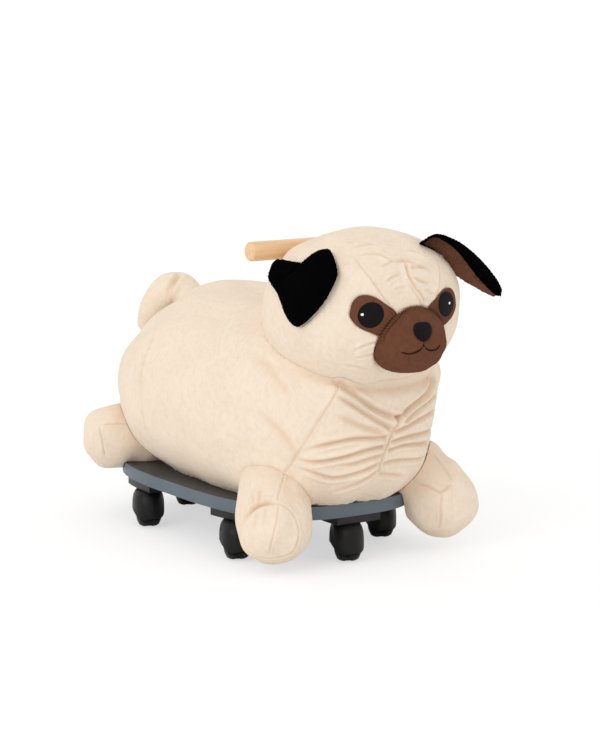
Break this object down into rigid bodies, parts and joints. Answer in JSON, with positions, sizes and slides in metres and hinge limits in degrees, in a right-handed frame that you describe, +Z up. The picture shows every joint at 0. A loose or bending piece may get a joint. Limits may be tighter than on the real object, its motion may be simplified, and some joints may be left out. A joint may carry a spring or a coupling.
{
  "type": "ride-on toy",
  "caption": "Ride-on plush dog: a stuffed body and head on a painted board that rolls on swivelling twin-wheel casters, steered by a wooden bar behind the head.",
  "frame": {"origin": "on the floor under the middle of the whole toy", "axes": "+X the dog's left, -Y the way it looks, +Z up"},
  "size_m": [0.3226, 0.5864, 0.398],
  "materials": {
    "board_paint": "slate-blue satin paint on birch plywood",
    "black_plastic": "black moulded nylon, fine spark-eroded grain",
    "wheel_plastic": "dark hard wheel plastic, smooth tread",
    "steel": "bright zinc plating",
    "beech": "clear-lacquered beech",
    "plywood": "bare sanded birch plywood",
    "cream_plush": "short cream plush",
    "brown_plush": "short brown plush",
    "black_plush": "short black plush",
    "embroidery": "dense dark satin-stitch embroidery"
  },
  "bodies": {
    "dog_on_board": {"base_board": "board_paint", "upright_panel": "plywood", "handle_dowel": "beech", "handle_screw": "steel", "panel_screw_front": "steel", "panel_screw_rear": "steel", "plush_body": "cream_plush", "plush_head": "cream_plush", "muzzle": "brown_plush", "nose": "embroidery", "eye_patch_left": "brown_plush", "eye_patch_right": "brown_plush", "eye_left": "embroidery", "eye_right": "embroidery", "ear_left": "black_plush", "ear_right": "black_plush", "front_leg_left": "cream_plush", "front_leg_right": "cream_plush", "rear_leg_left": "cream_plush", "rear_leg_right": "cream_plush", "tail": "cream_plush", "front_block": "black_plastic", "front_left_block": "black_plastic", "front_right_block": "black_plastic", "rear_left_block": "black_plastic", "rear_right_block": "black_plastic", "rear_block": "black_plastic"},
    "front_swivel": {"front_hood": "black_plastic", "front_stem": "steel", "front_axle": "steel"},
    "front_left_roller": {"front_wheel_left": "wheel_plastic"},
    "front_right_roller": {"front_wheel_right": "wheel_plastic"},
    "front_left_swivel": {"front_left_hood": "black_plastic", "front_left_stem": "steel", "front_left_axle": "steel"},
    "front_left_left_roller": {"front_left_wheel_left": "wheel_plastic"},
    "front_left_right_roller": {"front_left_wheel_right": "wheel_plastic"},
    "front_right_swivel": {"front_right_hood": "black_plastic", "front_right_stem": "steel", "front_right_axle": "steel"},
    "front_right_left_roller": {"front_right_wheel_left": "wheel_plastic"},
    "front_right_right_roller": {"front_right_wheel_right": "wheel_plastic"},
    "rear_left_swivel": {"rear_left_hood": "black_plastic", "rear_left_stem": "steel", "rear_left_axle": "steel"},
    "rear_left_left_roller": {"rear_left_wheel_left": "wheel_plastic"},
    "rear_left_right_roller": {"rear_left_wheel_right": "wheel_plastic"},
    "rear_right_swivel": {"rear_right_hood": "black_plastic", "rear_right_stem": "steel", "rear_right_axle": "steel"},
    "rear_right_left_roller": {"rear_right_wheel_left": "wheel_plastic"},
    "rear_right_right_roller": {"rear_right_wheel_right": "wheel_plastic"},
    "rear_swivel": {"rear_hood": "black_plastic", "rear_stem": "steel", "rear_axle": "steel"},
    "rear_left_roller": {"rear_wheel_left": "wheel_plastic"},
    "rear_right_roller": {"rear_wheel_right": "wheel_plastic"}
  },
  "joints": [
    {"name": "front_swivel_turn", "type": "hinge", "parent": "dog_on_board", "child": "front_swivel", "pos_m": [0, -0.1316, 0.0464], "axis": [0, 0, 1], "continuous": true},
    {"name": "front_left_roll", "type": "hinge", "parent": "front_swivel", "child": "front_left_roller", "pos_m": [-0.01236, -0.15628, 0.0185], "axis": [-0.8942, 0.4478, 0], "continuous": true},
    {"name": "front_right_roll", "type": "hinge", "parent": "front_swivel", "child": "front_right_roller", "pos_m": [-0.01236, -0.15628, 0.0185], "axis": [-0.8942, 0.4478, 0], "continuous": true},
    {"name": "front_left_swivel_turn", "type": "hinge", "parent": "dog_on_board", "child": "front_left_swivel", "pos_m": [0.105, -0.0516, 0.0464], "axis": [0, 0, 1], "continuous": true},
    {"name": "front_left_left_roll", "type": "hinge", "parent": "front_left_swivel", "child": "front_left_left_roller", "pos_m": [0.09264, -0.07628, 0.0185], "axis": [-0.8942, 0.4478, 0], "continuous": true},
    {"name": "front_left_right_roll", "type": "hinge", "parent": "front_left_swivel", "child": "front_left_right_roller", "pos_m": [0.09264, -0.07628, 0.0185], "axis": [-0.8942, 0.4478, 0], "continuous": true},
    {"name": "front_right_swivel_turn", "type": "hinge", "parent": "dog_on_board", "child": "front_right_swivel", "pos_m": [-0.105, -0.0516, 0.0464], "axis": [0, 0, 1], "continuous": true},
    {"name": "front_right_left_roll", "type": "hinge", "parent": "front_right_swivel", "child": "front_right_left_roller", "pos_m": [-0.11736, -0.07628, 0.0185], "axis": [-0.8942, 0.4478, 0], "continuous": true},
    {"name": "front_right_right_roll", "type": "hinge", "parent": "front_right_swivel", "child": "front_right_right_roller", "pos_m": [-0.11736, -0.07628, 0.0185], "axis": [-0.8942, 0.4478, 0], "continuous": true},
    {"name": "rear_left_swivel_turn", "type": "hinge", "parent": "dog_on_board", "child": "rear_left_swivel", "pos_m": [0.105, 0.1584, 0.0464], "axis": [0, 0, 1], "continuous": true},
    {"name": "rear_left_left_roll", "type": "hinge", "parent": "rear_left_swivel", "child": "rear_left_left_roller", "pos_m": [0.09264, 0.13372, 0.0185], "axis": [-0.8942, 0.4478, 0], "continuous": true},
    {"name": "rear_left_right_roll", "type": "hinge", "parent": "rear_left_swivel", "child": "rear_left_right_roller", "pos_m": [0.09264, 0.13372, 0.0185], "axis": [-0.8942, 0.4478, 0], "continuous": true},
    {"name": "rear_right_swivel_turn", "type": "hinge", "parent": "dog_on_board", "child": "rear_right_swivel", "pos_m": [-0.105, 0.1584, 0.0464], "axis": [0, 0, 1], "continuous": true},
    {"name": "rear_right_left_roll", "type": "hinge", "parent": "rear_right_swivel", "child": "rear_right_left_roller", "pos_m": [-0.11736, 0.13372, 0.0185], "axis": [-0.8942, 0.4478, 0], "continuous": true},
    {"name": "rear_right_right_roll", "type": "hinge", "parent": "rear_right_swivel", "child": "rear_right_right_roller", "pos_m": [-0.11736, 0.13372, 0.0185], "axis": [-0.8942, 0.4478, 0], "continuous": true},
    {"name": "rear_swivel_turn", "type": "hinge", "parent": "dog_on_board", "child": "rear_swivel", "pos_m": [0, 0.2384, 0.0464], "axis": [0, 0, 1], "continuous": true},
    {"name": "rear_left_roll", "type": "hinge", "parent": "rear_swivel", "child": "rear_left_roller", "pos_m": [-0.01236, 0.21372, 0.0185], "axis": [-0.8942, 0.4478, 0], "continuous": true},
    {"name": "rear_right_roll", "type": "hinge", "parent": "rear_swivel", "child": "rear_right_roller", "pos_m": [-0.01236, 0.21372, 0.0185], "axis": [-0.8942, 0.4478, 0], "continuous": true}
  ]
}
